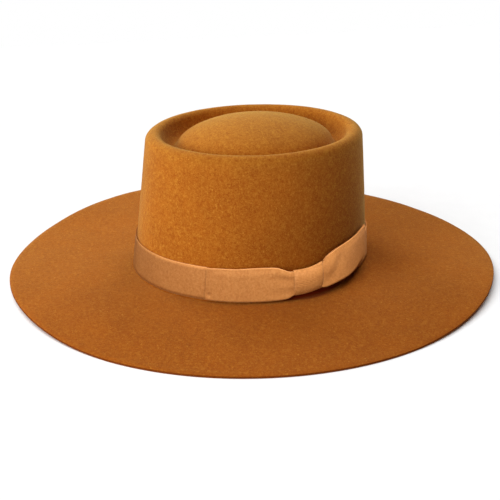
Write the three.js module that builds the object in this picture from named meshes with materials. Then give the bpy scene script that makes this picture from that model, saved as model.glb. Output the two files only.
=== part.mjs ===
// A wide flat-brimmed felt hat with a telescope crown, a ribbon band and a flat side bow.
// Millimetres, +Z up. The hat lies on the plane z = 0. The origin is under the centre of the brim's edge.
// The front of the hat faces -Y and the wearer's left, where the bow sits, is +X.

import * as THREE from "three";

// Driving sizes of the felt
const HEAD_RADIUS = 93.4; // mean radius of the crown's foot, for a head of 57.5 cm
const OVAL = 8.5; // half of the difference between the oval's length and its width, at the foot
const FELT = 2.0; // thickness of the felt
const BRIM_WIDTH = 104.6;
const BRIM_OVAL = 10.2; // the same half difference at the brim's edge
const FOOT_HEIGHT = 6.9; // brim's upper face where the crown stands on it
const BRIM_DROP = 2.4; // fall of the brim from the crown to its edge
const FOOT_FILLET = 1.5;
const CROWN_FORWARD = 1.9; // the crown's foot stands this far in front of the brim's centre

// The crown's wall and its rolled rim, as heights above the brim and radii of the mean circle
const WALL_HEIGHT = 117.4;
const WALL_TAPER = 0.086;
const WALL_CURVE = 0.010;
const ROLL_OUTER = 7.2;
const ROLL_INNER = 5.2;
const RIM_SLOPE = 1.05; // the rim is this much higher at the back and lower at the front
const LEAN = 3.26; // the wall leans back as it rises
const LEAN_BEND = -1.64;
const BACK_GATHER = 0.047; // share by which the foot is drawn in at the back's two corners
const GATHER_FADE = 35; // width of brim over which the drawn-in corners fade out

// The groove and the dome inside the rim
const DOME_HEIGHT = 126.3;
const DOME_FOOT = new THREE.Vector2(57.5, 109.5);
const GROOVE = new THREE.Vector2(63.2, 101.8);
const DOME_BACK = 1.4; // the dome's top stands this far behind the rim's centre
const DOME_BACK_RANGE = [70, 50]; // radii between which that shift builds up

// Gentle waves of the brim's edge, as amplitudes of one to five waves round the hat
const EDGE_WAVES = [
  { waves: 1, cosine: 0.9, sine: -1.5 },
  { waves: 2, cosine: 0.7, sine: -2.1 },
  { waves: 3, cosine: -0.6, sine: 1.5 },
  { waves: 4, cosine: 0.2, sine: 0.5 },
  { waves: 5, cosine: 1.0, sine: 0.8 },
];
const WAVE_POWER = 1.5;
const DROP_POWER = 1.3;

// Ribbon
const RIBBON = 1.0; // thickness of one layer
const GAP = 0.3; // air between neighbouring pieces
const BACK_LAYER = GAP + RIBBON + GAP + RIBBON / 2; // stand-off of the middle of a wing's back layer

// Lower and upper edge of the band round the hat, which the bow draws down at its knot
const BAND = [
  { angle: 0, low: 1.3, high: 28.4 },
  { angle: 56, low: 1.3, high: 28.4 },
  { angle: 62, low: 1.3, high: 27.6 },
  { angle: 90, low: 1.3, high: 27.6 },
  { angle: 97, low: 1.3, high: 23.0 },
  { angle: 108, low: 1.3, high: 21.6 },
  { angle: 116, low: 1.3, high: 26.5 },
  { angle: 128, low: 1.3, high: 28.4 },
  { angle: 360, low: 1.3, high: 28.4 },
];

// Front layer of each wing, from its folded end to the knot: degrees from the front, lower and upper edge above
// the brim, the stand-off of each edge from the felt, and how far the back layer shows above the front one
const LEFT_WING = [
  { angle: 57.5, low: 1.5, high: 28.4, lowOff: 3.4, highOff: 3.4, peek: 0.0 },
  { angle: 64.0, low: 1.5, high: 28.8, lowOff: 3.4, highOff: 3.4, peek: 0.0 },
  { angle: 71.0, low: 1.6, high: 29.0, lowOff: 3.5, highOff: 3.4, peek: 0.0 },
  { angle: 78.0, low: 1.7, high: 29.8, lowOff: 3.6, highOff: 3.5, peek: 0.0 },
  { angle: 85.0, low: 1.8, high: 29.8, lowOff: 3.8, highOff: 3.7, peek: 0.0 },
  { angle: 89.0, low: 2.0, high: 29.2, lowOff: 4.0, highOff: 3.9, peek: 0.0 },
  { angle: 92.0, low: 2.2, high: 27.3, lowOff: 4.2, highOff: 4.0, peek: 0.0 },
  { angle: 94.4, low: 3.0, high: 25.2, lowOff: 4.1, highOff: 3.9, peek: 0.0 },
  { angle: 96.3, low: 6.0, high: 23.4, lowOff: 3.8, highOff: 3.8, peek: 0.0 },
  { angle: 103.0, low: 6.4, high: 22.6, lowOff: 3.6, highOff: 3.6, peek: 0.0 },
];
const RIGHT_WING = [
  { angle: 151.0, low: 9.8, high: 37.2, lowOff: 3.4, highOff: 3.4, peek: 0.4 },
  { angle: 147.5, low: 9.3, high: 37.0, lowOff: 3.5, highOff: 3.4, peek: 0.4 },
  { angle: 143.5, low: 8.7, high: 36.8, lowOff: 3.9, highOff: 3.4, peek: 0.4 },
  { angle: 139.0, low: 8.2, high: 36.5, lowOff: 4.5, highOff: 3.4, peek: 0.4 },
  { angle: 134.0, low: 7.8, high: 36.4, lowOff: 5.3, highOff: 3.5, peek: 0.4 },
  { angle: 128.0, low: 7.6, high: 35.9, lowOff: 6.1, highOff: 3.6, peek: 0.4 },
  { angle: 122.0, low: 7.6, high: 35.0, lowOff: 6.4, highOff: 3.8, peek: 0.4 },
  { angle: 117.0, low: 7.0, high: 33.3, lowOff: 6.2, highOff: 4.0, peek: 0.4 },
  { angle: 113.0, low: 6.2, high: 30.3, lowOff: 5.2, highOff: 4.1, peek: 0.3 },
  { angle: 110.9, low: 6.8, high: 24.9, lowOff: 3.9, highOff: 3.9, peek: 0.0 },
  { angle: 104.2, low: 6.4, high: 22.6, lowOff: 3.6, highOff: 3.6, peek: 0.0 },
];

// Knot: a ribbon wrapped round the inner ends of the two wings
const KNOT = [
  { angle: 96.9, low: 4.7, high: 24.8 },
  { angle: 102.0, low: 4.0, high: 24.7 },
  { angle: 106.5, low: 4.6, high: 25.4 },
  { angle: 110.3, low: 5.4, high: 26.9 },
];
const KNOT_OFF = 5.3; // stand-off of the middle of its front
const KNOT_DOME = 0.5;
const KNOT_CORNER = 1.2; // radius of its upper and lower bends

// Fineness of the meshes
const AROUND = 64;
const WALL_STEPS = 4;
const BRIM_RINGS = [0.15, 0.3, 0.46, 0.62, 0.78, 0.89, 0.95, 1]; // shares of the brim's width
const DOME_STEPS = 7;
const GROOVE_STEPS = 3;
const ROLL_STEPS = 3;

const clamp01 = (value) => Math.min(1, Math.max(0, value));
const mix = (from, to, share) => from + (to - from) * share;

const wallRadius = (height) =>
  HEAD_RADIUS - WALL_TAPER * height - (WALL_CURVE * height * height) / WALL_HEIGHT;

// How far the crown's foot is drawn in at an angle from the front: 0 at the front, sides and back, 1 between
function gathered(angle) {
  const backward = Math.max(0, -Math.cos(angle));
  const share = Math.atan2(backward, Math.abs(Math.sin(angle))) / (Math.PI / 2);
  return Math.sin(Math.PI * share ** 1.5) ** 2;
}

function edgeWave(angle) {
  return EDGE_WAVES.reduce(
    (sum, w) => sum + w.cosine * Math.cos(w.waves * angle) + w.sine * Math.sin(w.waves * angle),
    0,
  );
}

// Turns a point of the round profile (mean radius, angle from the front, height above the brim) into its place on
// the oval hat. A stand-off moves it straight out from the felt.
function place(radius, angle, height, standOff = 0) {
  const rise = clamp01(height / WALL_HEIGHT);
  const outward = clamp01((radius - HEAD_RADIUS) / BRIM_WIDTH);
  const oval = radius < HEAD_RADIUS ? (OVAL * radius) / HEAD_RADIUS : mix(OVAL, BRIM_OVAL, outward);
  const fade = (1 - rise) * (1 - clamp01((radius - HEAD_RADIUS) / GATHER_FADE)) ** 2;
  const draw = 1 - BACK_GATHER * gathered(angle) * fade;
  const [domeFrom, domeTo] = DOME_BACK_RANGE;
  const onDome = rise > 0.5 ? clamp01((domeFrom - radius) / (domeFrom - domeTo)) : 0;
  const shift = -CROWN_FORWARD * (1 - outward) + LEAN * rise + LEAN_BEND * rise * rise + DOME_BACK * onDome;
  const slope = RIM_SLOPE * rise * rise * -Math.cos(angle) * (radius / HEAD_RADIUS);
  const wave = edgeWave(angle) * outward ** WAVE_POWER;
  return new THREE.Vector3(
    draw * (radius - oval + standOff) * Math.sin(angle),
    -draw * (radius + oval + standOff) * Math.cos(angle) + shift,
    FOOT_HEIGHT + height + slope + wave,
  );
}

// Upper side of the felt as points of mean radius and height above the brim, from the dome's top to the brim's edge
function upperProfile() {
  const wallTop = WALL_HEIGHT - ROLL_OUTER;
  const tilt = Math.atan(WALL_TAPER + (2 * WALL_CURVE * wallTop) / WALL_HEIGHT);
  const rollRadius = wallRadius(wallTop) - ROLL_OUTER * Math.cos(tilt);
  const rollHeight = wallTop - ROLL_OUTER * Math.sin(tilt);
  const innerHeight = rollHeight + ROLL_OUTER - ROLL_INNER;
  const innerEnd = THREE.MathUtils.degToRad(168);

  const dome = new THREE.CubicBezierCurve(
    new THREE.Vector2(0, DOME_HEIGHT),
    new THREE.Vector2(26, DOME_HEIGHT),
    new THREE.Vector2(50.5, 118.5),
    DOME_FOOT,
  );
  const grooveIn = new THREE.CubicBezierCurve(
    DOME_FOOT,
    new THREE.Vector2(59.6, 106.8),
    new THREE.Vector2(60.8, GROOVE.y),
    GROOVE,
  );
  const innerTip = new THREE.Vector2(
    rollRadius + ROLL_INNER * Math.cos(innerEnd),
    innerHeight + ROLL_INNER * Math.sin(innerEnd),
  );
  const grooveOut = new THREE.CubicBezierCurve(
    GROOVE,
    new THREE.Vector2(67.0, GROOVE.y),
    new THREE.Vector2(69.4, 106.9),
    innerTip,
  );
  const arc = (centreRadius, centreHeight, size, from, to) =>
    new THREE.EllipseCurve(centreRadius, centreHeight, size, size, from, to, to < from);

  const points = [
    ...dome.getPoints(DOME_STEPS),
    ...grooveIn.getPoints(GROOVE_STEPS).slice(1),
    ...grooveOut.getPoints(GROOVE_STEPS).slice(1),
    ...arc(rollRadius, innerHeight, ROLL_INNER, innerEnd, Math.PI / 2).getPoints(ROLL_STEPS).slice(1),
    ...arc(rollRadius, rollHeight, ROLL_OUTER, Math.PI / 2, tilt).getPoints(ROLL_STEPS).slice(1),
  ];
  for (let i = 1; i <= WALL_STEPS; i++) {
    const height = mix(wallTop, FOOT_FILLET, i / WALL_STEPS);
    points.push(new THREE.Vector2(wallRadius(height), height));
  }
  const foot = arc(HEAD_RADIUS + FOOT_FILLET, FOOT_FILLET, FOOT_FILLET, Math.PI, (3 * Math.PI) / 2);
  points.push(...foot.getPoints(2).slice(1));
  for (const share of BRIM_RINGS) {
    const height = -BRIM_DROP * share ** DROP_POWER;
    points.push(new THREE.Vector2(mix(HEAD_RADIUS + FOOT_FILLET, HEAD_RADIUS + BRIM_WIDTH, share), height));
  }
  return points;
}

// The same line moved down and inwards by the felt's thickness, square to the surface
function lowerProfile(upper) {
  return upper.map((point, i) => {
    const before = upper[Math.max(0, i - 1)];
    const after = upper[Math.min(upper.length - 1, i + 1)];
    const along = after.clone().sub(before).normalize();
    if (i === 0) return new THREE.Vector2(0, point.y - FELT);
    return new THREE.Vector2(point.x + FELT * along.y, point.y - FELT * along.x);
  });
}

// Moves every vertex of a geometry by a function that takes its place and its number
function remap(geometry, change) {
  const position = geometry.attributes.position;
  const point = new THREE.Vector3();
  for (let i = 0; i < position.count; i++) {
    point.fromBufferAttribute(position, i);
    const moved = change(point, i);
    position.setXYZ(i, moved.x, moved.y, moved.z);
  }
  geometry.computeVertexNormals();
  return geometry;
}

// Turns every triangle over, for a shape whose mapping mirrors it
function turnOver(geometry) {
  const index = geometry.index;
  for (let i = 0; i < index.count; i += 3) {
    const first = index.getX(i);
    index.setX(i, index.getX(i + 1));
    index.setX(i + 1, first);
  }
  return geometry;
}

// Felt body: dome, groove, rolled rim, wall and brim in one piece of felt, open underneath. Where the brim's waves
// would go below the surface that the hat lies on, the felt lies flat.
function feltBody() {
  const upper = upperProfile();
  const profile = [...lowerProfile(upper), ...[...upper].reverse()];
  return remap(new THREE.LatheGeometry(profile, AROUND), (p, i) => {
    const placed = place(Math.hypot(p.x, p.z), Math.atan2(p.x, p.z), p.y);
    const lowest = i % profile.length < upper.length ? 0 : FELT;
    placed.z = Math.max(placed.z, lowest);
    return placed;
  });
}

// The band's lower and upper edge at an angle in degrees from 0 to 360
function bandEdges(angle) {
  const next = Math.max(1, BAND.findIndex((row) => row.angle >= angle));
  const [before, after] = [BAND[next - 1], BAND[next]];
  const share = (angle - before.angle) / (after.angle - before.angle);
  return { low: mix(before.low, after.low, share), high: mix(before.high, after.high, share) };
}

// Ribbon band round the crown's foot: a ring with stand-offs as radii and shares of its width as heights
function hatBand() {
  const inner = GAP;
  const outer = GAP + RIBBON;
  const corners = [
    [inner, 1],
    [inner, 0.5],
    [inner, 0],
    [outer, 0],
    [outer, 0.5],
    [outer, 1],
    [inner, 1],
  ];
  const profile = corners.map(([off, share]) => new THREE.Vector2(off, share));
  return remap(new THREE.LatheGeometry(profile, AROUND), (p) => {
    const angle = Math.atan2(p.x, p.z);
    const edges = bandEdges((THREE.MathUtils.radToDeg(angle) + 360) % 360);
    const height = mix(edges.low, edges.high, p.y);
    return place(wallRadius(height), angle, height, Math.hypot(p.x, p.z));
  });
}

// A bow wing: one ribbon that runs out from the knot against the band, folds, and comes back in front of itself.
// Its sections are the table's rows, taken from the knot to the folded end and back again.
function bowWing(table) {
  const layerSteps = table.length - 1;
  const foldSteps = 4;
  const steps = 2 * layerSteps + foldSteps;
  const toward = Math.sign(table[layerSteps].angle - table[0].angle);
  const degreesPerMm = 180 / (Math.PI * HEAD_RADIUS);
  const box = new THREE.BoxGeometry(steps, 1, 1, steps, 1, 4);
  if (toward > 0) turnOver(box);
  return remap(box, (p) => {
    const step = Math.round(p.x + steps / 2);
    const across = p.y * RIBBON;
    const up = p.z + 0.5;
    const row = table[Math.max(0, layerSteps - step, step - layerSteps - foldSteps)];
    const turned = Math.PI * clamp01((step - layerSteps) / foldSteps);
    const front = (1 - Math.cos(turned)) / 2;
    const half = (mix(row.lowOff, row.highOff, up) - BACK_LAYER) / 2;
    const off = BACK_LAYER + half - Math.cos(turned) * (half + across);
    const beyond = Math.sin(turned) * (half + across) * degreesPerMm;
    const height = mix(row.low, row.high, up) + row.peek * (1 - front);
    return place(wallRadius(height), THREE.MathUtils.degToRad(row.angle - toward * beyond), height, off);
  });
}

// The knot: a ribbon over the wings' inner ends, bent back to the band above and below them
function bowKnot() {
  const legSteps = 1;
  const bendSteps = 3;
  const faceSteps = 4;
  const steps = 2 * (legSteps + bendSteps) + faceSteps;
  const legFoot = GAP + RIBBON + GAP;
  const box = turnOver(new THREE.BoxGeometry(KNOT.length - 1, 1, steps, KNOT.length - 1, 1, steps));
  return remap(box, (p) => {
    const row = KNOT[Math.round(p.x + (KNOT.length - 1) / 2)];
    const out = p.y * RIBBON;
    const step = Math.round(p.z + steps / 2);
    const fromEnd = Math.min(step, steps - step);
    const turned = (Math.PI / 2) * clamp01((fromEnd - legSteps) / bendSteps);
    const leg = mix(legFoot, KNOT_OFF - KNOT_CORNER, clamp01(fromEnd / legSteps));
    const toMiddle = clamp01((fromEnd - legSteps - bendSteps) / (faceSteps / 2));
    const reach = (row.high - row.low) / 2 - RIBBON / 2 - KNOT_CORNER;
    const fromMiddle = reach * (1 - toMiddle) + (KNOT_CORNER + out) * Math.cos(turned);
    const dome = KNOT_DOME * Math.sin((toMiddle * Math.PI) / 2);
    const off = leg + (KNOT_CORNER + out) * Math.sin(turned) + dome;
    const height = (row.low + row.high) / 2 + Math.sign(step - steps / 2) * fromMiddle;
    return place(wallRadius(height), THREE.MathUtils.degToRad(row.angle), height, off);
  });
}

const feltFinish = new THREE.MeshStandardMaterial({ color: "#b5702a", roughness: 0.95, metalness: 0 });
const ribbonFinish = new THREE.MeshStandardMaterial({ color: "#c8875a", roughness: 0.6, metalness: 0 });

function piece(name, geometry, material) {
  const mesh = new THREE.Mesh(geometry, material);
  mesh.name = name;
  return mesh;
}

const hat = new THREE.Group();
hat.add(piece("felt_body", feltBody(), feltFinish));
hat.add(piece("ribbon_band", hatBand(), ribbonFinish));
hat.add(piece("bow_left_wing", bowWing(LEFT_WING), ribbonFinish));
hat.add(piece("bow_right_wing", bowWing(RIGHT_WING), ribbonFinish));
hat.add(piece("bow_knot", bowKnot(), ribbonFinish));

export default hat;
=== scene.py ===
import math
from bisect import bisect_right
from collections import namedtuple

import bmesh
import bpy
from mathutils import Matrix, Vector, noise
from mathutils.geometry import interpolate_bezier


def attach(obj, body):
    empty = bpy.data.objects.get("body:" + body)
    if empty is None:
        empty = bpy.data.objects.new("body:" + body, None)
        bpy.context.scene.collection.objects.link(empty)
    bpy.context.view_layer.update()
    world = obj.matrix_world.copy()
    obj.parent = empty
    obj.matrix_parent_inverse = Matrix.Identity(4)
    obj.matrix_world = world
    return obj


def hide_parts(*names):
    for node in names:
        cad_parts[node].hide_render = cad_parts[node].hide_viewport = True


bl_info = {
    "name": "Telescope-crown felt hat",
    "version": (1, 0, 0),
    "blender": (4, 5, 0),
    "location": "3D View > Sidebar > Felt Hat",
    "description": "Models a wide-brimmed felt hat with a ribbon band and a flat bow at its side",
    "category": "Object",
}

# Lengths are in metres. The hat's front faces -Y, and the wearer's left, where the bow sits, is +X.
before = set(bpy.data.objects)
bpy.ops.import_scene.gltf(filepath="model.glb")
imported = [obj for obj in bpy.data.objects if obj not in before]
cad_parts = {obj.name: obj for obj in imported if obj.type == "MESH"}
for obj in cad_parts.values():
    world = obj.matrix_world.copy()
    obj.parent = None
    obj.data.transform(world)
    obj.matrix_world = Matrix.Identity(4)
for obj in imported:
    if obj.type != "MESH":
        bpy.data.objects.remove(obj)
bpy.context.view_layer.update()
MM = 0.001

# Shape of the felt beyond the sizes in the panel
FOOT_HEIGHT = 6.9 * MM
FOOT_FILLET = 1.5 * MM
BRIM_OVAL = 10.2 * MM
CROWN_FORWARD = 1.9 * MM
WALL_TAPER = 0.086
WALL_CURVE = 0.010
ROLL_OUTER = 7.2 * MM
ROLL_INNER = 5.2 * MM
ROLL_INNER_END = math.radians(168)
RIM_SLOPE = 1.05 * MM
LEAN = 3.26 * MM
LEAN_BEND = -1.64 * MM
BACK_GATHER = 0.047
GATHER_FADE = 35 * MM
DOME_BACK = 1.4 * MM
DOME_BACK_FROM = 70 * MM
DOME_BACK_TO = 50 * MM
CUT_EDGE_ROUND = 0.4 * MM

# Points and handles of the curves inside the rim, as mean radius and height above the brim
DOME_TOP_HANDLE = 26 * MM
DOME_SHOULDER_HANDLE = (50.5 * MM, 118.5 * MM)
DOME_FOOT = (57.5 * MM, 109.5 * MM)
GROOVE = (63.2 * MM, 101.8 * MM)
GROOVE_IN_HANDLES = ((59.6 * MM, 106.8 * MM), (60.8 * MM, GROOVE[1]))
GROOVE_OUT_HANDLES = ((67.0 * MM, GROOVE[1]), (69.4 * MM, 106.9 * MM))

# The brim's fall and waves grow towards its edge, and its rings lie closer together at the crown
Wave = namedtuple("Wave", "waves cosine sine")
EDGE_WAVES = (
    Wave(1, 0.9 * MM, -1.5 * MM),
    Wave(2, 0.7 * MM, -2.1 * MM),
    Wave(3, -0.6 * MM, 1.5 * MM),
    Wave(4, 0.2 * MM, 0.5 * MM),
    Wave(5, 1.0 * MM, 0.8 * MM),
)
WAVE_POWER = 1.5
DROP_POWER = 1.3
RING_POWER = 1.35

# Unevenness of the felt, as the height and length of its swells
Swell = namedtuple("Swell", "height length")
UNEVENNESS = (Swell(0.30 * MM, 34 * MM), Swell(0.08 * MM, 9 * MM))

# The shade painted into the felt under the bow: its middle and spread in degrees, and how far it reaches out
# and up
SHADE_ANGLE = 108
SHADE_SPREAD = 14
SHADE_OUT = 7.0 * MM
SHADE_OUT_INSET = 1.0 * MM
SHADE_OUT_FADE = 2 * MM
SHADE_UP = 8 * MM
SHADE_UP_FADE = 3 * MM
SHADE_TINT = (0.75, 0.35, 0.25)

# The ribbon
RIB_PITCH = 1.0 * MM
RIB_DEPTH = 0.28 * MM

# How far the middles of the ribbon's layers stand off the felt
BAND_OFF = 0.9 * MM
BACK_LAYER_OFF = 1.9 * MM
KNOT_LEG_OFF = 2.0 * MM
KNOT_OFF = 5.9 * MM

# Paths of the ribbons: degrees round the hat from its front, then heights of the ribbon's edges above the
# brim and, for the wings, stand-offs of those edges from the felt, all in millimetres
EdgeRow = namedtuple("EdgeRow", "angle low high")
BAND = (
    EdgeRow(0.0, 0.7, 28.4),
    EdgeRow(56.0, 0.7, 28.4),
    EdgeRow(62.0, 0.9, 27.2),
    EdgeRow(90.0, 1.3, 27.0),
    EdgeRow(97.0, 4.0, 23.0),
    EdgeRow(108.0, 6.0, 21.6),
    EdgeRow(116.0, 6.2, 26.5),
    EdgeRow(128.0, 5.6, 28.4),
    EdgeRow(143.0, 3.0, 28.4),
    EdgeRow(154.0, 0.7, 28.4),
    EdgeRow(360.0, 0.7, 28.4),
)
KNOT = (
    EdgeRow(96.9, 4.0, 24.8),
    EdgeRow(102.0, 3.9, 24.7),
    EdgeRow(107.2, 4.6, 25.5),
    EdgeRow(111.6, 5.5, 27.3),
)
WingRow = namedtuple("WingRow", "angle low high low_off high_off")
LEFT_WING = (
    WingRow(57.5, 1.5, 28.4, 2.5, 2.5),
    WingRow(64.0, 1.5, 28.8, 2.9, 2.8),
    WingRow(71.0, 1.6, 29.0, 3.3, 3.2),
    WingRow(78.0, 1.7, 29.8, 3.5, 3.4),
    WingRow(85.0, 1.8, 29.8, 3.8, 3.6),
    WingRow(89.0, 1.9, 29.2, 4.0, 3.8),
    WingRow(92.0, 2.1, 27.3, 4.2, 3.9),
    WingRow(94.4, 2.7, 25.2, 4.2, 3.9),
    WingRow(96.4, 4.3, 24.6, 4.1, 4.0),
    WingRow(98.4, 6.0, 23.2, 3.7, 3.7),
    WingRow(103.0, 6.4, 22.6, 3.6, 3.6),
)
RIGHT_WING = (
    WingRow(152.8, 9.9, 37.3, 3.0, 2.9),
    WingRow(148.5, 9.4, 37.0, 3.2, 2.9),
    WingRow(143.5, 8.7, 36.8, 3.6, 3.0),
    WingRow(139.0, 8.2, 36.5, 4.3, 3.1),
    WingRow(134.0, 7.8, 36.4, 5.1, 3.3),
    WingRow(128.0, 7.6, 35.9, 6.0, 3.5),
    WingRow(122.0, 7.6, 35.0, 6.4, 3.8),
    WingRow(117.4, 7.0, 33.3, 6.2, 4.0),
    WingRow(113.8, 5.8, 30.4, 5.0, 4.1),
    WingRow(111.9, 5.9, 26.8, 4.3, 4.1),
    WingRow(110.0, 6.6, 24.0, 3.8, 3.8),
    WingRow(104.2, 6.4, 22.6, 3.6, 3.6),
)

# The band's edges ease off the felt in slow waves
Ease = namedtuple("Ease", "height waves phase")
BAND_EASES = (Ease(0.12 * MM, 5, 0.6), Ease(0.10 * MM, 13, 0.0))

# The wings' folds: the ribbon's length in the fold, the degrees over which a wing settles beside it, how
# far the back layer is tucked down behind the front one, how far the two layers' upper edges lie back to
# the band, and the share of the width from which they do
WING_FOLD = 2.4 * MM
SETTLES_OVER = 6
TUCKED_BEHIND = 0.9 * MM
LIES_BACK = 0.2 * MM
FRONT_LIES_BACK = 0.6 * MM
LIES_BACK_FROM = 0.78

# Gathers beside the knot, from their first trace to their full height, in degrees
GATHER_HEIGHT = 0.22 * MM
GATHERS_BEGIN = 80
GATHERS_FULL = 95
GATHERS_ACROSS = 1.9
GATHERS_PHASE = 0.42

# Forms pressed into the wings: a height, the middle and reach in degrees, and the middle and spread as
# shares of the ribbon's width. The valley and the swell beside it follow a line that leans away from the
# knot, given by its degrees at the ribbon's lower and upper edge, and their own degrees count from it.
Form = namedtuple("Form", "height angle reach across spread")
SHOULDER = Form(0.5 * MM, 91, 4.5, 0.88, 0.13)
DIMPLE = Form(-0.9 * MM, 58.9, 1.0, 0.17, 0.05)
PUFF = Form(1.2 * MM, 116, 3.6, 0.60, 0.26)
VALLEY = Form(-0.5 * MM, 0, 4, 0.5, 0.38)
BESIDE_VALLEY = Form(0.25 * MM, 9, 7, 0.4, 0.4)
VALLEY_LINE = (113, 127)

# The knot's profile is a superellipse, and its two sides are tucked in
KNOT_ROUND = 2.2
KNOT_BENDS_LENGTH = 1.3
KNOT_TUCK = 1.4 * MM
KNOT_TUCK_POWER = 5
KNOT_CREASE = 0.14 * MM
KNOT_CREASES = 2
KNOT_CREASE_PHASE = 0.7

# Fineness of the meshes
FELT_AROUND = 288
DOME_STEPS = 24
BEND_STEPS = 8
FILLET_STEPS = 4
WALL_STEPS = 26
BRIM_STEPS = 26
STEPS_PER_RIB = 4
BAND_ACROSS = 10
WING_ACROSS = 24
KNOT_ACROSS = 20
SAME_POINT = 0.01 * MM

# The camera, fitted to the photograph, as angles round the hat from its front and above the surface
CAMERA_AZIMUTH = math.radians(76.24)
CAMERA_ELEVATION = math.radians(24.53)
CAMERA_ROLL = math.radians(0.32)
CAMERA_DISTANCE = 0.850
CAMERA_SHIFT_RIGHT = -1.66 * MM
CAMERA_SHIFT_UP = 5.83 * MM
PICTURE_PIXELS = 500
FOCAL_PIXELS = 973.7
SENSOR_WIDTH = 36.0

# The stage. The lights' angles are in degrees, measured as the camera's are. A light shines only on the
# pieces of its own group. The floor's sun has an angle for its size.
FLOOR_SIZE = 1.8
WORLD_STRENGTH = 0.01
Light = namedtuple("Light", "name azimuth elevation distance size energy color shines_on")
FLOOR_SUN = Light("floor_sun", 20, 62, 3.0, math.radians(75), 3.95, (1.0, 1.0, 1.0), "floor")
LIGHTS = (
    Light("key_light", 18, 16, 1.9, 1.1, 23.5, (0.96, 1.0, 0.90), "felt"),
    Light("warm_fill", 44, 26, 1.9, 1.1, 15.2, (1.0, 0.70, 0.42), "felt"),
    Light("left_light", -55, 38, 1.9, 1.1, 18.5, (0.96, 1.0, 0.95), "felt"),
    Light("back_light", -125, 45, 1.9, 1.1, 14.5, (0.96, 1.0, 0.95), "felt"),
    Light("top_light", 10, 68, 1.9, 1.1, 6.5, (1.0, 1.0, 0.95), "felt"),
    Light("rim_light", 195, 68, 1.6, 0.8, 3.6, (1.0, 0.72, 0.46), "felt"),
    Light("bow_light", 104, 74, 1.9, 0.9, 57.0, (1.0, 0.98, 0.97), "ribbon"),
    Light("ribbon_back", -115, 30, 1.9, 1.1, 17.0, (1.0, 1.0, 0.96), "ribbon"),
    Light("ribbon_key", 58, 20, 1.9, 0.8, 18.0, (1.0, 0.98, 0.94), "ribbon"),
    FLOOR_SUN,
)
LIT = {
    "felt": ("crown_and_brim",),
    "floor": ("studio_floor",),
    "ribbon": ("band_ribbon", "left_wing_ribbon", "right_wing_ribbon", "knot_ribbon"),
}


def millimetre(name, description, default):
    """A length for the panel, given in millimetres."""
    return bpy.props.FloatProperty(
        name=name, description=description, default=default * MM, min=0.0, unit="LENGTH", precision=4
    )


def colour(name, description, default):
    """A linear colour for the panel."""
    return bpy.props.FloatVectorProperty(
        name=name, description=description, default=default, size=3, min=0.0, max=1.0, subtype="COLOR"
    )


class FeltHatSizes(bpy.types.PropertyGroup):
    """Sizes of the hat that a maker would choose."""

    head_radius: millimetre("Head radius", "Mean radius of the crown's foot", 93.4)
    oval: millimetre("Oval", "How far the foot's front and back reach past its mean radius", 8.5)
    felt: millimetre("Felt thickness", "Thickness of the felt", 2.0)
    brim_width: millimetre("Brim width", "Width of the brim from the crown to its edge", 104.6)
    brim_drop: millimetre("Brim drop", "Fall of the brim from the crown to its edge", 2.4)
    wall_height: millimetre("Crown height", "Height of the rolled rim above the brim", 117.4)
    dome_height: millimetre("Dome height", "Height of the dome's top above the brim", 126.3)
    ribbon: millimetre("Ribbon thickness", "Thickness of one layer of ribbon", 0.5)


class FeltHatColours(bpy.types.PropertyGroup):
    """Colours of the felt, the ribbon and the floor."""

    felt: colour("Felt", "The felt's main colour", (0.395, 0.112, 0.0085))
    felt_brim: colour("Felt, brim", "The brim's felt, whose nap lies flatter", (0.370, 0.089, 0.0040))
    felt_deep: colour("Felt, deep", "The felt between the fibres", (0.26, 0.060, 0.0045))
    felt_gold: colour("Felt, golden", "Fibre tips that catch the light", (0.55, 0.258, 0.034))
    ribbon: colour("Ribbon", "The ribbon's main colour", (0.50, 0.205, 0.052))
    ribbon_deep: colour("Ribbon, deep", "The ribbon between its ribs", (0.36, 0.126, 0.030))
    ribbon_edge: colour("Ribbon, edge", "The ribbon's woven edge", (0.60, 0.275, 0.090))
    floor: colour("Floor", "The floor under the hat", (0.94, 0.94, 0.94))


def clamp01(value):
    return min(1.0, max(0.0, value))


def mix(start, end, share):
    return start + (end - start) * share


def smooth(share):
    """An ease from 0 to 1."""
    share = clamp01(share)
    return share * share * (3 - 2 * share)


def bump_at(*distances):
    """A round bump of height 1, from the distances to its middle as multiples of its own spreads."""
    return math.exp(-sum(d * d for d in distances))


def ripple(point, wave_length):
    """Smooth noise between about -1 and 1 that changes over a length."""
    return noise.noise(point / wave_length)


def direction(azimuth, elevation):
    """The way from the hat to an angle round it from its front and an angle above the surface."""
    level = math.cos(elevation)
    return Vector((math.sin(azimuth) * level, -math.cos(azimuth) * level, math.sin(elevation)))


def sizes():
    return bpy.context.scene.felt_hat_sizes


def colours():
    return bpy.context.scene.felt_hat_colours


# The hat's form


def wall_radius(height):
    """Mean radius of the crown's wall at a height above the brim."""
    return sizes().head_radius - WALL_TAPER * height - WALL_CURVE * height * height / sizes().wall_height


def gathered(angle):
    """How far the crown's foot is drawn in: 0 at the front, sides and back, 1 at the back's two corners."""
    share = math.atan2(max(0.0, -math.cos(angle)), abs(math.sin(angle))) / (math.pi / 2)
    return math.sin(math.pi * share**1.5) ** 2


def edge_wave(angle):
    """Rise and fall of the brim's edge round the hat."""
    turns = ((wave, wave.waves * angle) for wave in EDGE_WAVES)
    return sum(wave.cosine * math.cos(turn) + wave.sine * math.sin(turn) for wave, turn in turns)


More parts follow.
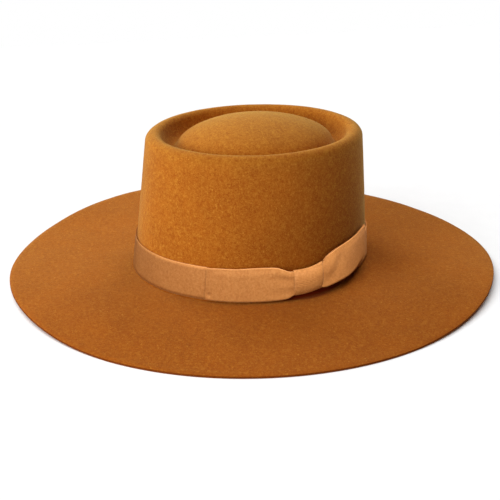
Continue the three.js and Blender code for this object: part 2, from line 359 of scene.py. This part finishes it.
def place(radius, angle, height, stand_off=0.0):
    """Where a point of the round profile, given by mean radius, angle and height, lies on the hat."""
    size = sizes()
    rise = clamp01(height / size.wall_height)
    outward = clamp01((radius - size.head_radius) / size.brim_width)
    oval = mix(size.oval, BRIM_OVAL, outward) if outward else size.oval * radius / size.head_radius
    fade = (1 - rise) * (1 - clamp01((radius - size.head_radius) / GATHER_FADE)) ** 2
    draw = 1 - BACK_GATHER * gathered(angle) * fade
    high_up = rise > 0.5
    on_dome = clamp01((DOME_BACK_FROM - radius) / (DOME_BACK_FROM - DOME_BACK_TO)) if high_up else 0.0
    shift = -CROWN_FORWARD * (1 - outward) + LEAN * rise + LEAN_BEND * rise * rise + DOME_BACK * on_dome
    slope = RIM_SLOPE * rise * rise * -math.cos(angle) * (radius / size.head_radius)
    wave = edge_wave(angle) * outward**WAVE_POWER
    return Vector(
        (
            draw * (radius - oval + stand_off) * math.sin(angle),
            -draw * (radius + oval + stand_off) * math.cos(angle) + shift,
            FOOT_HEIGHT + height + slope + wave,
        )
    )


def under_bow(radius, angle, height):
    """1 where shade is painted into the felt under the bow, on the crown's foot and the brim beside it, and 0
    beyond.
    """
    reach = SHADE_OUT * bump_at((math.degrees(angle) - SHADE_ANGLE) / SHADE_SPREAD) - SHADE_OUT_INSET
    beyond = radius - sizes().head_radius
    return smooth(0.5 + (reach - beyond) / SHADE_OUT_FADE) * smooth((SHADE_UP - height) / SHADE_UP_FADE)


def arc(centre, radius, start, end, steps):
    """Points of an arc in the profile's plane, without its first one."""
    turns = (mix(start, end, i / steps) for i in range(1, steps + 1))
    return [(centre[0] + radius * math.cos(t), centre[1] + radius * math.sin(t)) for t in turns]


def bezier(start, handle_out, handle_in, end, steps):
    """Points of a smooth curve in the profile's plane, without its first one."""
    controls = [Vector((*point, 0.0)) for point in (start, handle_out, handle_in, end)]
    return [(point.x, point.y) for point in interpolate_bezier(*controls, steps + 1)[1:]]


def felt_profile():
    """The felt's upper side from the dome's top to the brim's edge, as mean radii and heights."""
    size = sizes()
    wall_top = size.wall_height - ROLL_OUTER
    tilt = math.atan(WALL_TAPER + 2 * WALL_CURVE * wall_top / size.wall_height)
    roll_radius = wall_radius(wall_top) - ROLL_OUTER * math.cos(tilt)
    roll_height = wall_top - ROLL_OUTER * math.sin(tilt)
    inner_centre = (roll_radius, roll_height + ROLL_OUTER - ROLL_INNER)
    inner_tip = (
        roll_radius + ROLL_INNER * math.cos(ROLL_INNER_END),
        inner_centre[1] + ROLL_INNER * math.sin(ROLL_INNER_END),
    )
    top = (0.0, size.dome_height)
    points = [top]
    points += bezier(top, (DOME_TOP_HANDLE, size.dome_height), DOME_SHOULDER_HANDLE, DOME_FOOT, DOME_STEPS)
    points += bezier(DOME_FOOT, *GROOVE_IN_HANDLES, GROOVE, BEND_STEPS)
    points += bezier(GROOVE, *GROOVE_OUT_HANDLES, inner_tip, BEND_STEPS)
    points += arc(inner_centre, ROLL_INNER, ROLL_INNER_END, math.pi / 2, BEND_STEPS)
    points += arc((roll_radius, roll_height), ROLL_OUTER, math.pi / 2, tilt, BEND_STEPS)
    for i in range(1, WALL_STEPS + 1):
        height = mix(wall_top, FOOT_FILLET, i / WALL_STEPS)
        points.append((wall_radius(height), height))
    brim_start = size.head_radius + FOOT_FILLET
    points += arc((brim_start, FOOT_FILLET), FOOT_FILLET, math.pi, 1.5 * math.pi, FILLET_STEPS)
    for i in range(1, BRIM_STEPS + 1):
        share = i / BRIM_STEPS
        radius = mix(brim_start, size.head_radius + size.brim_width, share**RING_POWER)
        points.append((radius, -size.brim_drop * share ** (RING_POWER * DROP_POWER)))
    return points


def row_at(table, angle):
    """The columns of a table at an angle, in metres, on a smooth curve through its rows."""
    rows = sorted(table, key=lambda row: row.angle)
    i = max(0, min(len(rows) - 2, bisect_right([row.angle for row in rows], angle) - 1))
    before, start, end, after = rows[max(0, i - 1)], rows[i], rows[i + 1], rows[min(len(rows) - 1, i + 2)]
    span = end.angle - start.angle
    t = clamp01((angle - start.angle) / span)
    square, cube = t * t, t * t * t
    values = []
    for first, a, b, last in zip(before[1:], start[1:], end[1:], after[1:]):
        slope_a = (b - first) / (end.angle - before.angle) * span
        slope_b = (last - a) / (after.angle - start.angle) * span
        value = a * (2 * cube - 3 * square + 1) + slope_a * (cube - 2 * square + t)
        value += b * (3 * square - 2 * cube) + slope_b * (cube - square)
        values.append(value * MM)
    return type(start)(angle, *values)


def pressed(form, angle, across):
    """Height that a form gives a wing at a place on it."""
    return form.height * bump_at((angle - form.angle) / form.reach, (across - form.across) / form.spread)


# Making pieces


def new_object(name, data):
    """A new object at the origin, linked to the scene."""
    thing = bpy.data.objects.new(name, data)
    bpy.context.scene.collection.objects.link(thing)
    return thing


def new_mesh_object(name, bm, material):
    """An object made from a bmesh, which is used up, with its material."""
    mesh = bpy.data.meshes.new(name)
    bm.to_mesh(mesh)
    bm.free()
    mesh.materials.append(material)
    return new_object(name, mesh)


def finish_piece(name, bm, material, node):
    """Turns a bmesh into a smooth piece that stands for a CAD node."""
    for face in bm.faces:
        face.smooth = True
    piece = new_mesh_object(name, bm, material)
    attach(piece, "root")
    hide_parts(node)
    return piece


def thicken(piece, thickness, offset, rim_material):
    """Gives a surface its thickness, and its cut edges a material of their own."""
    piece.data.materials.append(rim_material)
    solid = piece.modifiers.new("thickness", "SOLIDIFY")
    solid.thickness = thickness
    solid.offset = offset
    solid.use_even_offset = True
    solid.material_offset_rim = 1


def round_edges(piece, width):
    """Rounds a thickened piece's sharp edges."""
    bevel = piece.modifiers.new("round_edge", "BEVEL")
    bevel.width = width
    bevel.segments = 2
    bevel.limit_method = "ANGLE"
    bevel.angle_limit = math.radians(60)


def face_outwards(bm):
    """Turns an open surface so that its faces point away from the crown's axis."""
    bmesh.ops.recalc_face_normals(bm, faces=bm.faces)
    outward = sum(face.normal.dot(face.calc_center_median() * Vector((1, 1, 0))) for face in bm.faces)
    if outward < 0:
        bmesh.ops.reverse_faces(bm, faces=bm.faces)


def lay_ribbon(length, across_steps, where):
    """A ribbed grid laid at where(along, across, rib), which gives a place on the hat.

    Along and across run from 0 to 1, and rib is the rib's own height. The UV map counts ribs along the
    ribbon and widths across it.
    """
    ribs = round(length / RIB_PITCH)
    bm = bmesh.new()
    layer = bm.loops.layers.uv.new("UVMap")
    bmesh.ops.create_grid(bm, x_segments=ribs * STEPS_PER_RIB, y_segments=across_steps, size=0.5)
    for face in bm.faces:
        for loop in face.loops:
            share = loop.vert.co
            loop[layer].uv = ((share.x + 0.5) * ribs, share.y + 0.5)
    for vert in bm.verts:
        along, across = vert.co.x + 0.5, vert.co.y + 0.5
        rib = RIB_DEPTH * (abs(math.sin(math.pi * along * ribs)) - 0.5)
        vert.co = where(along, across, rib)
    return bm


def finish_ribbon(name, bm, node):
    """Turns a laid ribbon into a piece of grosgrain with its woven edges."""
    piece = finish_piece(name, bm, shared("grosgrain_ribbon", ribbon_material), node)
    thicken(piece, sizes().ribbon, 0.0, shared("ribbon_selvage", selvage_material))
    return piece


# Materials


class Nodes:
    """Small helper that adds and links the nodes of one material."""

    def __init__(self, name):
        self.material = bpy.data.materials.new(name)
        self.material.use_nodes = True
        self.tree = self.material.node_tree
        self.shader = self.tree.nodes["Principled BSDF"]

    def add(self, kind, **settings):
        node = self.tree.nodes.new(kind)
        for key, value in settings.items():
            setattr(node, key, value)
        return node

    def put(self, socket, value):
        """Links a socket to another one, or gives it a number or a colour."""
        if isinstance(value, bpy.types.NodeSocket):
            self.tree.links.new(value, socket)
        elif isinstance(value, (int, float)):
            socket.default_value = value
        else:
            socket.default_value = (*value, 1.0)

    def position(self):
        """Position on the piece, in metres."""
        return self.add("ShaderNodeTexCoord").outputs["Object"]

    def fill(self, node, **inputs):
        """Puts values into a node's inputs, in whose names _ stands for a space."""
        for key, value in inputs.items():
            self.put(node.inputs[key.replace("_", " ")], value)

    def noise(self, vector, scale, detail=4.0, roughness=0.55, distortion=0.0):
        node = self.add("ShaderNodeTexNoise")
        self.fill(node, Vector=vector, Scale=scale, Detail=detail, Roughness=roughness, Distortion=distortion)
        return node.outputs["Fac"]

    def ramp(self, value, low, high, to=(0.0, 1.0)):
        """Eases from the first value of to, where the input is low, to the second, where it is high."""
        node = self.add("ShaderNodeMapRange", interpolation_type="SMOOTHSTEP")
        self.fill(node, Value=value, From_Min=low, From_Max=high, To_Min=to[0], To_Max=to[1])
        return node.outputs["Result"]

    def height_ramp(self, vector, low, high, to=(0.0, 1.0)):
        """A ramp over the height above the surface that the hat lies on."""
        node = self.add("ShaderNodeSeparateXYZ")
        self.fill(node, Vector=vector)
        return self.ramp(node.outputs["Z"], low, high, to)

    def math(self, operation, *values):
        node = self.add("ShaderNodeMath", operation=operation)
        for socket, value in zip(node.inputs, values):
            self.put(socket, value)
        return node.outputs["Value"]

    def blend(self, share, first, second):
        node = self.add("ShaderNodeMix", data_type="RGBA")
        self.fill(node, Factor=share, A=first, B=second)
        return node.outputs["Result"]

    def bump(self, height, strength, distance):
        node = self.add("ShaderNodeBump")
        self.fill(node, Strength=strength, Distance=distance, Height=height)
        return node.outputs["Normal"]

    def finish(self, color, roughness, normal, **constants):
        """Gives the shader its colour, roughness and bump, and its other values on its own sockets."""
        self.fill(self.shader, Base_Color=color, Roughness=roughness, Normal=normal, **constants)
        return self.material


def felt_material():
    """Short-napped fur felt: curled orange-brown fibres, darker between them and golden at their tips."""
    palette = colours()
    deep, tips = tuple(palette.felt_deep), tuple(palette.felt_gold)
    nodes = Nodes("fur_felt")
    place_on = nodes.position()

    cloud = nodes.noise(place_on, scale=26.0, detail=3.0, roughness=0.5)
    patch = nodes.noise(place_on, scale=110.0, detail=3.0, roughness=0.55, distortion=0.6)
    tuft = nodes.noise(place_on, scale=330.0, detail=4.0, roughness=0.7, distortion=0.8)
    curl = nodes.noise(place_on, scale=560.0, detail=3.0, roughness=0.6, distortion=1.2)
    speck = nodes.noise(place_on, scale=760.0, detail=0.0, roughness=0.5)
    fibre = nodes.noise(place_on, scale=1300.0, detail=3.0, roughness=0.6, distortion=0.8)

    # The brim's felt is redder and less golden than the crown's, and its tufts show more
    on_crown = nodes.height_ramp(place_on, 10 * MM, 45 * MM)
    on_dome = nodes.height_ramp(place_on, 105 * MM, 128 * MM, to=(0.0, 0.30))
    felt = nodes.blend(on_crown, tuple(palette.felt_brim), tuple(palette.felt))
    brim_tips = tuple(mix(a, b, 0.38) for a, b in zip(palette.felt, palette.felt_gold))
    gold = nodes.blend(on_crown, brim_tips, tips)
    coarse = nodes.ramp(on_crown, 0.0, 1.0, to=(0.75, 0.42))

    body = nodes.blend(nodes.ramp(cloud, 0.3, 0.7, to=(0.50, 0.85)), deep, felt)
    # Painted sheen: towards the top of the rim and dome the felt turns golden, where the light catches it
    body = nodes.blend(on_dome, body, tips)
    body = nodes.blend(nodes.ramp(patch, 0.62, 0.30, to=(0.0, 0.25)), body, deep)
    body = nodes.blend(nodes.ramp(curl, 0.52, 0.26, to=(0.0, 0.75)), body, deep)
    body = nodes.blend(nodes.math("MULTIPLY", coarse, nodes.ramp(tuft, 0.50, 0.32)), body, deep)
    body = nodes.blend(nodes.math("MULTIPLY", coarse, nodes.ramp(tuft, 0.50, 0.72)), body, gold)
    body = nodes.blend(nodes.ramp(curl, 0.46, 0.72, to=(0.0, 0.5)), body, gold)
    body = nodes.blend(nodes.ramp(fibre, 0.46, 0.72, to=(0.0, 0.5)), body, gold)
    body = nodes.blend(nodes.ramp(speck, 0.76, 0.82, to=(0.0, 0.6)), body, tips)
    # Painted shade: under the bow the felt is blended towards a darkened deep colour
    painted_shade = nodes.add("ShaderNodeAttribute", attribute_name="under_bow").outputs["Fac"]
    body = nodes.blend(painted_shade, body, tuple(share * c for share, c in zip(SHADE_TINT, deep)))

    height = nodes.math("ADD", curl, nodes.math("MULTIPLY", fibre, 0.5))
    return nodes.finish(
        body,
        nodes.ramp(fibre, 0.3, 0.7, to=(0.86, 0.98)),
        nodes.bump(height, 0.6, 0.35 * MM),
        Sheen_Weight=0.38,
        Sheen_Roughness=0.36,
        Sheen_Tint=(1.0, 0.87, 0.34),
        Specular_IOR_Level=0.1,
    )


def cut_felt_material():
    """The felt's raw cut edge, darker and without nap."""
    deep = tuple(colours().felt_deep)
    nodes = Nodes("cut_felt")
    fibre = nodes.noise(nodes.position(), scale=1300.0, detail=3.0)
    body = nodes.blend(nodes.ramp(fibre, 0.35, 0.65, to=(0.2, 0.6)), tuple(0.35 * c for c in deep), deep)
    return nodes.finish(body, 0.95, nodes.bump(fibre, 0.5, 0.2 * MM), Specular_IOR_Level=0.1)


def ribbon_material():
    """Grosgrain: a satin sheen on the ribs, painted shade between them and a pale woven edge with painted
    highlights on its rib tops.
    """
    palette = colours()
    deep, pale = tuple(palette.ribbon_deep), tuple(palette.ribbon_edge)
    nodes = Nodes("grosgrain_ribbon")
    on_ribbon = nodes.add("ShaderNodeUVMap", uv_map="UVMap").outputs["UV"]
    parts = nodes.add("ShaderNodeSeparateXYZ")
    nodes.fill(parts, Vector=on_ribbon)
    along, across = parts.outputs["X"], parts.outputs["Y"]
    rib = nodes.math("ABSOLUTE", nodes.math("SINE", nodes.math("MULTIPLY", along, math.pi)))
    from_middle = nodes.math("ABSOLUTE", nodes.math("SUBTRACT", across, 0.5))

    threads = nodes.add("ShaderNodeMapping")
    threads.inputs["Scale"].default_value = (1.6, 60.0, 1.0)
    nodes.fill(threads, Vector=on_ribbon)
    slub = nodes.noise(threads.outputs["Vector"], scale=1.0, detail=3.0)
    place_on = nodes.position()
    cloud = nodes.noise(place_on, scale=60.0, detail=3.0)
    weave = nodes.noise(place_on, scale=480.0, detail=3.0, roughness=0.7, distortion=0.5)

    # Painted shade: the colour darkens in the valleys between the ribs
    body = nodes.blend(nodes.ramp(rib, 0.0, 0.6, to=(0.2, 1.0)), deep, tuple(palette.ribbon))
    body = nodes.blend(nodes.ramp(slub, 0.35, 0.7, to=(0.0, 0.3)), body, pale)
    body = nodes.blend(nodes.ramp(cloud, 0.35, 0.75, to=(0.0, 0.25)), body, deep)
    body = nodes.blend(nodes.ramp(weave, 0.52, 0.34, to=(0.0, 0.45)), body, deep)
    body = nodes.blend(nodes.ramp(weave, 0.50, 0.68, to=(0.0, 0.45)), body, pale)
    # The woven edge is paler, and paler still on its rib tops, which is painted highlight
    at_edge = nodes.ramp(from_middle, 0.468, 0.480)
    on_rib = nodes.ramp(rib, 0.3, 0.8, to=(0.2, 0.5))
    body = nodes.blend(nodes.math("MULTIPLY", at_edge, on_rib), body, pale)

    return nodes.finish(
        body,
        nodes.ramp(rib, 0.0, 1.0, to=(0.62, 0.48)),
        nodes.bump(slub, 0.35, 0.08 * MM),
        Sheen_Weight=0.03,
        Sheen_Roughness=0.35,
        Sheen_Tint=(1.0, 0.80, 0.62),
        Specular_IOR_Level=0.2,
    )


def selvage_material():
    """The ribbon's narrow side, where its threads turn back."""
    deep = tuple(colours().ribbon_deep)
    nodes = Nodes("ribbon_selvage")
    thread = nodes.noise(nodes.position(), scale=1600.0, detail=2.0)
    body = nodes.blend(nodes.ramp(thread, 0.35, 0.65), tuple(0.5 * c for c in deep), deep)
    return nodes.finish(body, 0.8, nodes.bump(thread, 0.3, 0.1 * MM), Specular_IOR_Level=0.1)


def floor_material():
    """Pale matt floor with a very faint grain."""
    pale = tuple(colours().floor)
    nodes = Nodes("pale_floor")
    grain = nodes.noise(nodes.position(), scale=40.0, detail=3.0)
    body = nodes.blend(nodes.ramp(grain, 0.3, 0.7), tuple(0.985 * c for c in pale), pale)
    return nodes.finish(body, 0.8, nodes.bump(grain, 0.05, 0.2 * MM), Specular_IOR_Level=0.2)


def shared(name, make):
    """A material made once and used again."""
    return bpy.data.materials.get(name) or make()


# Operators


class FELT_HAT_OT_body(bpy.types.Operator):
    """Spin the felt's profile into the crown and brim, oval and gently waved"""

    bl_idname = "felt_hat.body"
    bl_label = "Crown and Brim"

    def execute(self, context):
        size = sizes()
        bm = bmesh.new()
        verts = [bm.verts.new((radius, 0.0, height)) for radius, height in felt_profile()]
        edges = [bm.edges.new(pair) for pair in zip(verts, verts[1:])]
        bmesh.ops.spin(
            bm,
            geom=verts + edges,
            cent=(0, 0, 0),
            axis=(0, 0, 1),
            angle=math.tau,
            steps=FELT_AROUND,
            use_merge=True,
        )
        bmesh.ops.remove_doubles(bm, verts=bm.verts, dist=SAME_POINT)
        bmesh.ops.recalc_face_normals(bm, faces=bm.faces)
        top = max(bm.faces, key=lambda face: face.calc_center_median().z)
        if top.normal.z < 0:
            bmesh.ops.reverse_faces(bm, faces=bm.faces)
        # Mask of the shade painted into the felt under the bow
        shade = bm.verts.layers.float.new("under_bow")
        for vert in bm.verts:
            radius, angle = math.hypot(vert.co.x, vert.co.y), math.atan2(vert.co.x, -vert.co.y)
            vert[shade] = under_bow(radius, angle, vert.co.z)
            vert.co = place(radius, angle, vert.co.z)
        bm.normal_update()
        for vert in bm.verts:
            vert.co += vert.normal * sum(s.height * ripple(vert.co, s.length) for s in UNEVENNESS)
            vert.co.z = max(vert.co.z, size.felt)
        material = shared("fur_felt", felt_material)
        piece = finish_piece("crown_and_brim", bm, material, "felt_body")
        thicken(piece, size.felt, -1.0, shared("cut_felt", cut_felt_material))
        round_edges(piece, CUT_EDGE_ROUND)
        return {"FINISHED"}


class FELT_HAT_OT_band(bpy.types.Operator):
    """Wrap the ribbon band round the crown's foot"""

    bl_idname = "felt_hat.band"
    bl_label = "Ribbon Band"

    def execute(self, context):
        length = math.tau * sizes().head_radius

        def where(along, across, rib):
            angle = math.tau * along
            row = row_at(BAND, math.degrees(angle))
            height = mix(row.low, row.high, across)
            ease = sum(e.height * math.sin(e.waves * angle + e.phase) for e in BAND_EASES)
            off = BAND_OFF + rib + ease * (2 * across - 1) ** 2
            return place(wall_radius(height), angle, height, off)

        bm = lay_ribbon(length, BAND_ACROSS, where)
        bmesh.ops.remove_doubles(bm, verts=bm.verts, dist=SAME_POINT)
        face_outwards(bm)
        piece = finish_ribbon("band_ribbon", bm, "ribbon_band")
        return {"FINISHED"}


class FELT_HAT_OT_wings(bpy.types.Operator):
    """Fold the two wings of the bow, with their gathers at the knot"""

    bl_idname = "felt_hat.wings"
    bl_label = "Bow Wings"

    def execute(self, context):
        self.wing("left_wing_ribbon", "bow_left_wing", LEFT_WING, self.left_folds)
        self.wing("right_wing_ribbon", "bow_right_wing", RIGHT_WING, self.right_folds)
        return {"FINISHED"}

    def wing(self, name, node, table, folds):
        """Lays a ribbon from the knot out to the wing's end, folds it and brings it back in front."""
        folded, knot = table[0].angle, table[-1].angle
        toward = math.copysign(1, knot - folded)
        layer = math.radians(abs(knot - folded)) * sizes().head_radius
        length = 2 * layer + WING_FOLD
        degrees_per_metre = 180 / (math.pi * sizes().head_radius)

        def where(along, across, rib):
            run = along * length
            back, front = clamp01(run / layer), clamp01((run - layer - WING_FOLD) / layer)
            angle = mix(knot, folded, back) if run < layer else mix(folded, knot, front)
            row = row_at(table, angle)
            turned = math.pi * clamp01((run - layer) / WING_FOLD)
            in_front = (1 - math.cos(turned)) / 2
            from_fold = smooth(abs(angle - folded) / SETTLES_OVER)
            half = (mix(row.low_off, row.high_off, across) - BACK_LAYER_OFF) / 2
            rib *= abs(math.cos(turned))
            off = BACK_LAYER_OFF + half - math.cos(turned) * (half + rib) + folds(angle, across) * in_front
            at_top = smooth((across - LIES_BACK_FROM) / (1 - LIES_BACK_FROM))
            off -= (LIES_BACK + FRONT_LIES_BACK * in_front) * from_fold * at_top
            height = mix(row.low, row.high, across) - TUCKED_BEHIND * (1 - in_front) * from_fold * across
            beyond = math.sin(turned) * (half + rib) * degrees_per_metre
            return place(wall_radius(height), math.radians(angle - toward * beyond), height, off)

        piece = finish_ribbon(name, lay_ribbon(length, WING_ACROSS, where), node)

    def left_folds(self, angle, across):
        """The stitched dimple at the folded end, and gathers and a shoulder beside the knot."""
        near = smooth((angle - GATHERS_BEGIN) / (GATHERS_FULL - GATHERS_BEGIN))
        wave = math.sin(math.tau * (GATHERS_ACROSS * across + GATHERS_PHASE))
        gathers = GATHER_HEIGHT * near * math.sin(math.pi * across) * wave
        return gathers + pressed(SHOULDER, angle, across) + pressed(DIMPLE, angle, across)

    def right_folds(self, angle, across):
        """A puff beside the knot and a valley that runs up and outwards from it."""
        beyond = angle - mix(*VALLEY_LINE, across)
        valley = pressed(VALLEY, beyond, across) + pressed(BESIDE_VALLEY, beyond, across)
        return pressed(PUFF, angle, across) + valley


class FELT_HAT_OT_knot(bpy.types.Operator):
    """Wrap the knot's ribbon over the inner ends of the wings"""

    bl_idname = "felt_hat.knot"
    bl_label = "Bow Knot"

    def execute(self, context):
        first, last = KNOT[0].angle, KNOT[-1].angle
        depth = KNOT_OFF - KNOT_LEG_OFF
        length = (KNOT[1].high - KNOT[1].low) * MM + KNOT_BENDS_LENGTH * depth

        def where(along, across, rib):
            row = row_at(KNOT, mix(first, last, across))
            turn = math.pi * (1 - along)
            upward, outward = math.cos(turn), math.sin(turn)
            upward = math.copysign(abs(upward) ** (2 / KNOT_ROUND), upward)
            outward = abs(outward) ** (2 / KNOT_ROUND)
            crease = math.sin(math.tau * KNOT_CREASES * across + KNOT_CREASE_PHASE)
            crease *= KNOT_CREASE * math.sin(math.pi * along)
            tuck = KNOT_TUCK * abs(2 * across - 1) ** KNOT_TUCK_POWER * outward
            off = KNOT_LEG_OFF + (depth + rib) * outward + crease - tuck
            height = (row.low + row.high) / 2 + upward * ((row.high - row.low) / 2 + rib)
            return place(wall_radius(height), math.radians(row.angle), height, off)

        bm = lay_ribbon(length, KNOT_ACROSS, where)
        face_outwards(bm)
        piece = finish_ribbon("knot_ribbon", bm, "bow_knot")
        return {"FINISHED"}


class FELT_HAT_OT_stage(bpy.types.Operator):
    """Set the camera, the studio lights and the pale floor"""

    bl_idname = "felt_hat.stage"
    bl_label = "Stage"

    def execute(self, context):
        self.floor()
        self.camera(context.scene)
        for light in LIGHTS:
            self.light(light)
        self.world(context.scene)
        return {"FINISHED"}

    def floor(self):
        bm = bmesh.new()
        bmesh.ops.create_grid(bm, x_segments=4, y_segments=4, size=FLOOR_SIZE / 2)
        new_mesh_object("studio_floor", bm, shared("pale_floor", floor_material))

    def camera(self, scene):
        back = direction(CAMERA_AZIMUTH, CAMERA_ELEVATION)
        right = Vector((math.cos(CAMERA_AZIMUTH), math.sin(CAMERA_AZIMUTH), 0.0))
        up = back.cross(right)
        target = Vector((0.0, -CROWN_FORWARD, FOOT_HEIGHT))
        target += right * CAMERA_SHIFT_RIGHT + up * CAMERA_SHIFT_UP
        data = bpy.data.cameras.new("photo_camera")
        data.sensor_width = SENSOR_WIDTH
        data.lens = FOCAL_PIXELS * SENSOR_WIDTH / PICTURE_PIXELS
        camera = new_object("photo_camera", data)
        camera.location = target + back * CAMERA_DISTANCE
        camera.rotation_euler = (math.pi / 2 - CAMERA_ELEVATION, 0.0, CAMERA_AZIMUTH)
        camera.rotation_euler.rotate_axis("Z", CAMERA_ROLL)
        scene.camera = camera

    def light(self, light):
        """Adds a soft lamp that shines on its own group of pieces."""
        if light is FLOOR_SUN:
            data = bpy.data.lights.new(light.name, "SUN")
            data.angle = light.size
        else:
            data = bpy.data.lights.new(light.name, "AREA")
            data.shape = "DISK"
            data.size = light.size
        data.energy = light.energy
        data.color = light.color
        toward = direction(math.radians(light.azimuth), math.radians(light.elevation))
        lamp = new_object(light.name, data)
        lamp.location = toward * light.distance
        lamp.rotation_euler = toward.to_track_quat("Z", "Y").to_euler()
        lit = bpy.data.collections.new(light.name + "_shines_on")
        for name in LIT[light.shines_on]:
            lit.objects.link(bpy.data.objects[name])
        lamp.light_linking.receiver_collection = lit

    def world(self, scene):
        """A world that shows as white and hardly lights the hat."""
        world = bpy.data.worlds.new("studio_world")
        world.use_nodes = True
        nodes, links = world.node_tree.nodes, world.node_tree.links
        background = nodes["Background"]
        background.inputs["Color"].default_value = (1.0, 1.0, 1.0, 1.0)
        seen = nodes.new("ShaderNodeLightPath").outputs["Is Camera Ray"]
        strength = nodes.new("ShaderNodeMapRange")
        strength.inputs["To Min"].default_value = WORLD_STRENGTH
        links.new(seen, strength.inputs["Value"])
        links.new(strength.outputs["Result"], background.inputs["Strength"])
        scene.world = world
        scene.view_settings.view_transform = "Standard"


class FELT_HAT_PT_panel(bpy.types.Panel):
    """Sizes, colours and the steps that make the hat"""

    bl_idname = "FELT_HAT_PT_panel"
    bl_label = "Felt Hat"
    bl_space_type = "VIEW_3D"
    bl_region_type = "UI"
    bl_category = "Felt Hat"

    def draw(self, context):
        for group in (context.scene.felt_hat_sizes, context.scene.felt_hat_colours):
            box = self.layout.box()
            for name in group.bl_rna.properties.keys():
                if name not in ("rna_type", "name"):
                    box.prop(group, name)
        for operator in OPERATORS:
            self.layout.operator(operator.bl_idname)


OPERATORS = (FELT_HAT_OT_body, FELT_HAT_OT_band, FELT_HAT_OT_wings, FELT_HAT_OT_knot, FELT_HAT_OT_stage)
CLASSES = (FeltHatSizes, FeltHatColours, *OPERATORS, FELT_HAT_PT_panel)


def register():
    for cls in CLASSES:
        bpy.utils.register_class(cls)
    bpy.types.Scene.felt_hat_sizes = bpy.props.PointerProperty(type=FeltHatSizes)
    bpy.types.Scene.felt_hat_colours = bpy.props.PointerProperty(type=FeltHatColours)


def unregister():
    del bpy.types.Scene.felt_hat_colours
    del bpy.types.Scene.felt_hat_sizes
    for cls in reversed(CLASSES):
        bpy.utils.unregister_class(cls)


def main():
    register()
    bpy.ops.felt_hat.body()
    bpy.ops.felt_hat.band()
    bpy.ops.felt_hat.wings()
    bpy.ops.felt_hat.knot()
    bpy.ops.felt_hat.stage()


if __name__ == "__main__":
    main()
